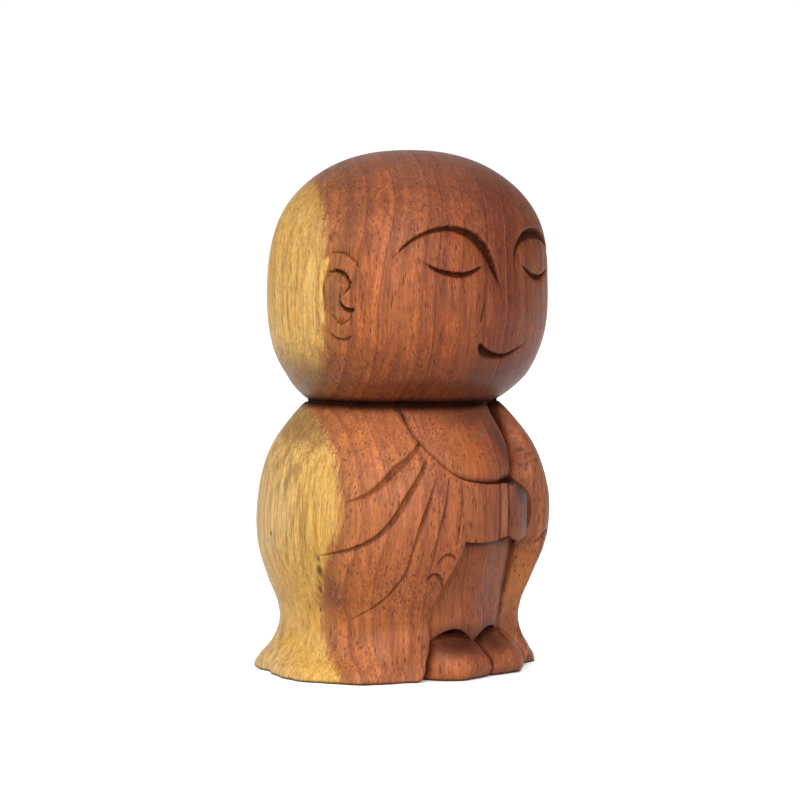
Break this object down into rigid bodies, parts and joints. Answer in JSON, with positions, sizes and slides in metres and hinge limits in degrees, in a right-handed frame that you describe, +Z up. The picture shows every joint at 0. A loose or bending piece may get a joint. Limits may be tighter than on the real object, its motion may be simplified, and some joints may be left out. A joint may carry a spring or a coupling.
{
  "type": "carved wooden monk figurine",
  "caption": "Small standing monk carved from one piece of two-tone wood: big round head, closed eyes, cloak with cut folds, hands hidden in joined sleeves, bare toes under the hem.",
  "frame": {"origin": "middle of the footprint box, on the flat underside", "axes": "+Z up through the head; the figure faces -Y; +X is the figure's left"},
  "size_m": [0.0832, 0.0824, 0.15],
  "materials": {
    "wood": "hand carved, sanded and softly waxed; red-brown heartwood with a golden sapwood strip at the back right"
  },
  "bodies": {
    "root": {"monk_figurine": "wood"}
  },
  "joints": []
}
